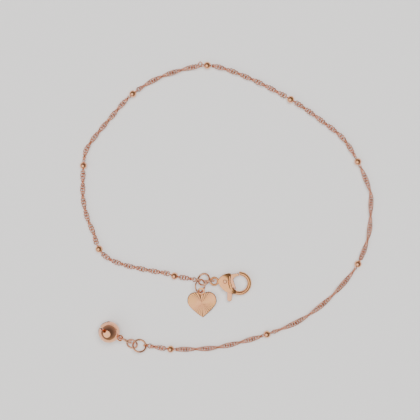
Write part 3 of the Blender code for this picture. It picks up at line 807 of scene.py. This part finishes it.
loop_out = BELL_LOOP_MIDDLE - BELL_MIDDLE
bpy.ops.mesh.primitive_torus_add(major_radius=BELL_LOOP_RADIUS, minor_radius=BELL_LOOP_WIRE / 2,
                                 major_segments=40, minor_segments=14)
bell_loop = bpy.context.object
bell_loop.data.transform(Matrix.Rotation(BELL_LOOP_TURN, 4, "Z") @ Matrix.Rotation(math.pi / 2, 4, "Y"))
bell_loop.data.transform(Matrix.Translation((0.0, 0.0, loop_out.length)))
cut_or_join(bell, bell_loop, "UNION")
choose(bell)
bpy.ops.object.shade_smooth_by_angle(angle=math.radians(30))

bell_up = loop_out.normalized()
bell_across = bell_up.cross(Vector((0.0, 0.0, 1.0))).normalized()
bell_turn = Matrix((bell_across.cross(bell_up), bell_across, bell_up)).transposed().to_4x4()
settle(bell, "jingle_bell", Matrix.Translation(BELL_MIDDLE) @ bell_turn, bell_metal, ["bell"])

# %% [markdown]
# The heart is stamped from thin sheet and then cut: V-shaped grooves run from its middle to its edge, so each ray
# catches the light on one side. Half of its outline is a short table, which a smooth curve joins and a mirror
# completes. A function then says how far away the outline is in any direction from the point where the rays meet.

# %% The heart's outline
HEART_WIDTH = 7.36
HEART_HEIGHT = 6.45
# Half of the outline from the point up: share of the half width, share of the height
HEART_HALF_OUTLINE = [
    (0.0, 0.0), (0.40, 0.175), (0.72, 0.355), (0.915, 0.495), (1.0, 0.65), (0.955, 0.81),
    (0.78, 0.94), (0.48, 1.0), (0.20, 0.965), (0.0, 0.885),
]
RAYS = 36
RAY_CENTRE = 0.62


def heart_reach():
    """How far the heart's outline is from its ray centre, for each ridge and valley."""
    half = smooth_curve([(x * HEART_WIDTH / 2, y * HEART_HEIGHT) for x, y in HEART_HALF_OUTLINE])
    edge = np.vstack([half, (half * (-1.0, 1.0))[-2:0:-1]]) - (0.0, RAY_CENTRE * HEART_HEIGHT)
    angles = np.arctan2(edge[:, 1], edge[:, 0])
    order = np.argsort(angles)
    return lambda angle: float(np.interp(angle, angles[order], np.linalg.norm(edge, axis=1)[order],
                                         period=2 * math.pi))


reach = heart_reach()
ray_middle = Vector((0.0, RAY_CENTRE * HEART_HEIGHT, 0.0))
print("from the rays' middle to the tip, in mm:", round(reach(-math.pi / 2), 2))

# %% [markdown]
# The blank starts as a flat circle with a vertex for each ridge and each valley, and every vertex moves out along its
# ray to the outline. Extruding gives the blank its thickness, an inset makes the narrow border, and poking the top face
# joins it to the middle.

# %% The heart's blank
HEART_THICKNESS = 0.32
BORDER = 0.16
FACES_UP = 0.9

bpy.ops.mesh.primitive_circle_add(vertices=2 * RAYS, radius=1.0, fill_type="NGON")
heart = bpy.context.object
for vertex in heart.data.vertices:
    ray = math.atan2(vertex.co.y, vertex.co.x)
    vertex.co = ray_middle + Vector((math.cos(ray), math.sin(ray), 0.0)) * reach(ray)
pick_faces(heart, lambda face: True)
bpy.ops.mesh.extrude_region_move(TRANSFORM_OT_translate={"value": (0.0, 0.0, HEART_THICKNESS)})
turn_faces_out()
pick_faces(heart, lambda face: face.normal.z > FACES_UP)
bpy.ops.mesh.inset(thickness=BORDER, depth=0.0)
bpy.ops.mesh.poke()
bpy.ops.object.mode_set(mode="OBJECT")
print("blank:", len(heart.data.polygons), "faces")

# %% [markdown]
# Now the cuts. The whole border slopes down to the rim, and most along the lower edge, which is left whole. Every
# second ray is a valley: its vertices go down, and along the upper edge they also move in, which scallops the rim. The
# faces stay flat-shaded, because these are cuts and not curves.

# %% The heart's rays
RAY_DEPTH = 0.075
RIM_DEPTH = 0.12
UPPER_DROP = 0.04
LOWER_DROP = 0.10
SCALLOP = 0.07
SCALLOPS_ABOVE = 0.3
# Nothing closer to the rays' middle than this moves
MIDDLE_SPOT = 0.1
# The lower edge is where a ray's direction has a sine below this
LOWER_EDGE = -0.1

ray_step = math.pi / RAYS


def ray_number(point):
    """Which ridge or valley a point lies on, counted from the heart's lower tip."""
    angle = math.atan2(point.y - ray_middle.y, point.x - ray_middle.x) + math.pi / 2
    return round(angle / ray_step) % (2 * RAYS)


for vertex in heart.data.vertices:
    away = vertex.co - ray_middle
    flat_away = Vector((away.x, away.y, 0.0))
    if flat_away.length < MIDDLE_SPOT:
        continue
    number = ray_number(vertex.co)
    angle = -math.pi / 2 + number * ray_step
    lower_edge = math.sin(angle) < LOWER_EDGE
    on_rim = flat_away.length > reach(angle) - BORDER / 3
    valley = number % 2 == 0
    if vertex.co.z > HEART_THICKNESS / 2:
        if on_rim:
            vertex.co.z -= LOWER_DROP if lower_edge else UPPER_DROP
        if valley and not (on_rim and lower_edge):
            vertex.co.z -= RIM_DEPTH if on_rim else RAY_DEPTH
    if valley and flat_away.y > SCALLOPS_ABOVE:
        vertex.co -= flat_away.normalized() * SCALLOP
print("rays:", RAYS)

# %% [markdown]
# The heart hangs by a small eye, a disc with rounded edges and a hole a little off its middle, joined on above the
# notch. The ring in the eye raises that end, so the finished heart is tilted, and then lowered until its lowest vertex
# is just over the table.

# %% The heart's eye, and its place
EYE_RADIUS = 0.87
EYE_THICKNESS = 0.34
EYE_EDGE = 0.07
EYE_HOLE = 0.53
EYE_HEIGHT = 6.67
EYE_HOLE_DROP = 0.1
HEART_RISE = 5.7
HEART_ROLL = -6.5
HEART_TURN = 3.0
HEART_PLACE = (-5.96, -27.45)

bpy.ops.mesh.primitive_cylinder_add(vertices=48, radius=EYE_RADIUS, depth=EYE_THICKNESS,
                                    location=(0.0, EYE_HEIGHT, HEART_THICKNESS / 2))
eye_plate = bpy.context.object
round_edges(eye_plate, "Soft edge", EYE_EDGE, segments=3)
cut_or_join(heart, eye_plate, "UNION")
bpy.ops.mesh.primitive_cylinder_add(vertices=40, radius=EYE_HOLE, depth=HEART_THICKNESS * 4,
                                    location=(0.0, EYE_HEIGHT - EYE_HOLE_DROP, HEART_THICKNESS / 2))
cut_or_join(heart, bpy.context.object, "DIFFERENCE")
choose(heart)
bpy.ops.object.shade_smooth_by_angle(angle=math.radians(5))

heart_raised = Matrix.Rotation(math.radians(HEART_RISE), 4, "X") @ Matrix.Rotation(math.radians(HEART_ROLL), 4, "Y")
heart_turned = heart_raised @ Matrix.Rotation(math.radians(HEART_TURN), 4, "Z")
heart_lowest = min((heart_turned @ vertex.co).z for vertex in heart.data.vertices)
heart_at = Matrix.Translation((*HEART_PLACE, TABLE_GAP - heart_lowest))
settle(heart, "ray_cut_heart", heart_at @ heart_turned, heart_metal, ["heart_charm"])

# %% [markdown]
# The clasp is a casting: a domed body that is thickest round the rivet, a round hook that grows out of its lower end,
# and an eye at its back, all in one piece with soft edges. A slot in the body holds a flat lever. Four outlines, all
# drawn round the rivet, give the body, the lever, the slot and the lip of the mouth. They are shares of the body's
# length and width, so they follow when the clasp changes its size.

# %% The clasp's outlines
CLASP_THICKNESS = 2.2
BODY_LENGTH = 4.7
BODY_WIDTH = 5.0
BODY_OUTLINE = [
    (-0.375, -0.03), (-0.340, 0.105), (-0.225, 0.245), (-0.080, 0.345), (0.130, 0.410), (0.250, 0.405),
    (0.292, 0.350), (0.287, 0.070), (0.335, -0.090), (0.405, -0.280), (0.455, -0.315), (0.520, -0.360),
    (0.590, -0.400), (0.620, -0.440), (0.600, -0.560), (0.530, -0.585), (0.364, -0.578), (0.147, -0.532),
    (-0.019, -0.452), (-0.189, -0.314), (-0.306, -0.170),
]
LEVER_OUTLINE = [
    (0.425, 0.400), (0.300, 0.370), (0.160, 0.300), (0.000, 0.180), (-0.110, 0.130), (-0.185, 0.010),
    (-0.150, -0.115), (-0.040, -0.260), (0.100, -0.420), (0.165, -0.560), (0.172, -0.780), (0.178, -0.890),
    (0.215, -0.955), (0.300, -0.985), (0.385, -0.955), (0.425, -0.890), (0.425, -0.780), (0.420, -0.560),
    (0.415, -0.330), (0.470, -0.265), (0.600, -0.345), (0.617, -0.370), (0.580, -0.240), (0.520, -0.120),
    (0.440, 0.060), (0.417, 0.128), (0.480, 0.220), (0.600, 0.300),
]
SLOT_OUTLINE = [
    (0.488, -0.660), (-0.130, -0.660), (-0.215, -0.100), (-0.225, 0.050), (-0.160, 0.175), (-0.010, 0.235),
    (0.100, 0.330), (0.110, 0.480), (0.420, 0.480), (0.420, 0.000), (0.650, -0.240),
]
# The line behind the raised lip of the mouth
LIP_LINE = [
    (0.215, 0.470), (0.205, 0.300), (0.195, 0.060), (0.225, -0.100), (0.290, -0.290), (0.380, -0.420),
    (0.500, -0.520), (0.600, -0.600),
]
clasp_middle = CLASP_THICKNESS / 2
print("points:", len(BODY_OUTLINE), len(LEVER_OUTLINE), len(SLOT_OUTLINE), len(LIP_LINE))

# %% [markdown]
# Three helpers make solids from such lines: a flat plate, a round bar that is bent along a line, and the soft edges of
# a casting. For the last, the solid is rebuilt from small cubes and smoothed, which rounds every edge a little, as
# casting and tumbling do. No bevel copes with the many short edges that booleans leave.

# %% Helpers for the clasp


def body_points(table):
    """Points in millimetres, from shares of the body's length and width."""
    return [(x * BODY_LENGTH, y * BODY_WIDTH) for x, y in table]


def arc_points(radius, first, last, count):
    """Points on a circle round the origin, between two angles in degrees."""
    angles = np.radians(np.linspace(first, last, count))
    return [(radius * math.cos(angle), radius * math.sin(angle)) for angle in angles]


def plate(outline, thickness, middle):
    """A flat plate: a circle whose vertices move to the outline, extruded."""
    bpy.ops.mesh.primitive_circle_add(vertices=len(outline), radius=1.0, fill_type="NGON")
    sheet = bpy.context.object
    for vertex, (x, y) in zip(sheet.data.vertices, outline):
        vertex.co = (x, y, middle - thickness / 2)
    pick_faces(sheet, lambda face: True)
    bpy.ops.mesh.extrude_region_move(TRANSFORM_OT_translate={"value": (0.0, 0.0, thickness)})
    turn_faces_out()
    return sheet


def bent_bar(name, line, width, height):
    """A round bar along the line, at this height."""
    curve = bpy.data.curves.new(name, "CURVE")
    curve.dimensions = "3D"
    curve.bevel_depth = width / 2
    curve.bevel_resolution = 6
    curve.use_fill_caps = True
    spline = curve.splines.new("POLY")
    spline.points.add(len(line) - 1)
    for point, (x, y) in zip(spline.points, line):
        point.co = (x, y, height, 1.0)
    bar = bpy.data.objects.new(name, curve)
    bpy.context.scene.collection.objects.link(bar)
    choose(bar)
    bpy.ops.object.convert(target="MESH")
    return bpy.context.object


def soften(piece, grain, smoothing):
    """Rebuild a solid from small cubes and smooth it, so that every edge is a little round."""
    rebuild = piece.modifiers.new("Rebuilt", "REMESH")
    rebuild.mode = "VOXEL"
    rebuild.voxel_size = grain
    smooth = piece.modifiers.new("Tumbled", "SMOOTH")
    smooth.factor = 0.5
    smooth.iterations = smoothing
    apply_modifiers(piece)
    bpy.ops.object.shade_smooth()


# %% [markdown]
# The body is a plate with rounded edges. A very large ball, squashed, gives it its dome: where two solids overlap, an
# intersection keeps only the common part.

# %% The clasp's body
CLASP_PLACE = Matrix.Translation((-0.45, -18.40, 0.0)) @ Matrix.Rotation(math.radians(-4.0), 4, "Z")
CLASP_EDGE = 0.32
DOME_MIDDLE = (0.5, -0.4, -2.0)
DOME_RADII = (7.0, 7.0, 4.2)

clasp = plate(smooth_curve(body_points(BODY_OUTLINE), steps=4, closed=True), CLASP_THICKNESS, clasp_middle)
round_edges(clasp, "Round edge", CLASP_EDGE, segments=4, sharper_than=60.0)
bpy.ops.mesh.primitive_uv_sphere_add(segments=96, ring_count=64, radius=1.0)
dome = bpy.context.object
dome.data.transform(Matrix.Translation(DOME_MIDDLE) @ Matrix.Diagonal((*DOME_RADII, 1.0)))
cut_or_join(clasp, dome, "INTERSECT")
print("domed body:", len(clasp.data.polygons), "faces")

# %% [markdown]
# The hook is a round bar, a little deeper than it is wide. Where its tip meets the lever's gate, a wedge round the
# rivet is cut away, so that the gate can swing past it.

# %% The clasp's hook
HOOK_RADIUS = 2.45
HOOK_WIDTH = 1.0
HOOK_DEPTH = 1.2
HOOK_CENTRE = Vector((3.65, -0.25, clasp_middle))
HOOK_START = -127.0
HOOK_END = 97.0
GATE_CLEARANCE = 0.15
GATE_MEETS_HOOK = math.radians(92.0)
GATE_SWEEP = (5.0, 53.0)

inner_corner = HOOK_CENTRE + Vector((math.cos(GATE_MEETS_HOOK), math.sin(GATE_MEETS_HOOK), 0.0)) * (
    HOOK_RADIUS - HOOK_WIDTH / 2)
gate_reach = math.hypot(inner_corner.x, inner_corner.y) - GATE_CLEARANCE
hook = bent_bar("hook", arc_points(HOOK_RADIUS, HOOK_START, HOOK_END, 57), HOOK_WIDTH, 0.0)
hook.data.transform(Matrix.Translation(HOOK_CENTRE) @ Matrix.Scale(HOOK_DEPTH / HOOK_WIDTH, 4, (0.0, 0.0, 1.0)))
gate_room = plate([(0.0, 0.0)] + arc_points(gate_reach + GATE_CLEARANCE, *GATE_SWEEP, 25), 2 * CLASP_THICKNESS,
                  clasp_middle)
cut_or_join(hook, gate_room, "DIFFERENCE")
cut_or_join(clasp, hook, "UNION")
print("from the rivet to the gate's tip, in mm:", round(gate_reach, 2))

# %% [markdown]
# An eye is joined on at the back, and a shallow groove behind the mouth leaves its lip standing. The slot is the
# lever's outline with room to swing, and the rivet's hole goes through everything. Last comes the softening.

# %% The clasp's eye, lip, slot and hole
CLASP_EYE_RADIUS = 0.92
CLASP_EYE_WIRE = 0.55
CLASP_EYE_PLACE = (-2.67, -0.19)
LIP_GROOVE = 0.32
LEVER_THICKNESS = 0.9
SLOT_CLEARANCE = 0.13
# The slot ends in an arc, clear of the lever's corner beside the hook
WEB_SWEEP_RADIUS = 3.57
WEB_SWEEP = (-28.0, -50.0)
RIVET_DIAMETER = 0.8
BODY_FIT = 0.04
CAST_GRAIN = 0.05
CAST_SMOOTHING = 5


def bore_for_rivet(piece, fit):
    """Drill the rivet's hole, with this much room round the rivet."""
    bpy.ops.mesh.primitive_cylinder_add(vertices=40, radius=RIVET_DIAMETER / 2 + fit, depth=2 * CLASP_THICKNESS,
                                        location=(0.0, 0.0, clasp_middle))
    cut_or_join(piece, bpy.context.object, "DIFFERENCE")


bpy.ops.mesh.primitive_torus_add(major_radius=CLASP_EYE_RADIUS, minor_radius=CLASP_EYE_WIRE / 2, major_segments=48,
                                 minor_segments=16, location=(*CLASP_EYE_PLACE, clasp_middle))
cut_or_join(clasp, bpy.context.object, "UNION")
lip_groove = bent_bar("lip groove", body_points(LIP_LINE), LIP_GROOVE, CLASP_THICKNESS)
cut_or_join(clasp, lip_groove, "DIFFERENCE")
slot_plate = plate(body_points(SLOT_OUTLINE) + arc_points(WEB_SWEEP_RADIUS, *WEB_SWEEP, 9),
                   LEVER_THICKNESS + 2 * SLOT_CLEARANCE, clasp_middle)
cut_or_join(clasp, slot_plate, "DIFFERENCE")
bore_for_rivet(clasp, BODY_FIT)
soften(clasp, CAST_GRAIN, CAST_SMOOTHING)
settle(clasp, "cast_clasp", CLASP_PLACE, clasp_metal, ["clasp_body"])

# %% [markdown]
# The lever is pressed from sheet. It turns on the rivet: its long end is the thumb tab, and its short end is the gate
# that closes the hook. It rides on its own body of the frame, so it swings when the joint does.

# %% The lever
GATE_TIP = (25.5, 36.0)
LEVER_FIT = 0.1
PRESSED_GRAIN = 0.04
PRESSED_SMOOTHING = 3

lever = plate(arc_points(gate_reach, *GATE_TIP, 6) + body_points(LEVER_OUTLINE), LEVER_THICKNESS, clasp_middle)
bore_for_rivet(lever, LEVER_FIT)
soften(lever, PRESSED_GRAIN, PRESSED_SMOOTHING)
settle(lever, "pressed_lever", CLASP_PLACE, lever_metal, ["clasp_lever"], body="clasp_lever")

# %% [markdown]
# The rivet is a short round bar through the body and the lever. Both of its ends were hammered, so their edges are
# round.

# %% The rivet
RIVET_LENGTH = 2.16
RIVET_EDGE = 0.08

bpy.ops.mesh.primitive_cylinder_add(vertices=48, radius=RIVET_DIAMETER / 2, depth=RIVET_LENGTH,
                                    location=(0.0, 0.0, clasp_middle))
rivet = bpy.context.object
round_edges(rivet, "Hammered edge", RIVET_EDGE, segments=4)
bpy.ops.object.shade_smooth_by_angle(angle=math.radians(40))
settle(rivet, "round_rivet", CLASP_PLACE, rivet_metal, ["clasp_rivet"])
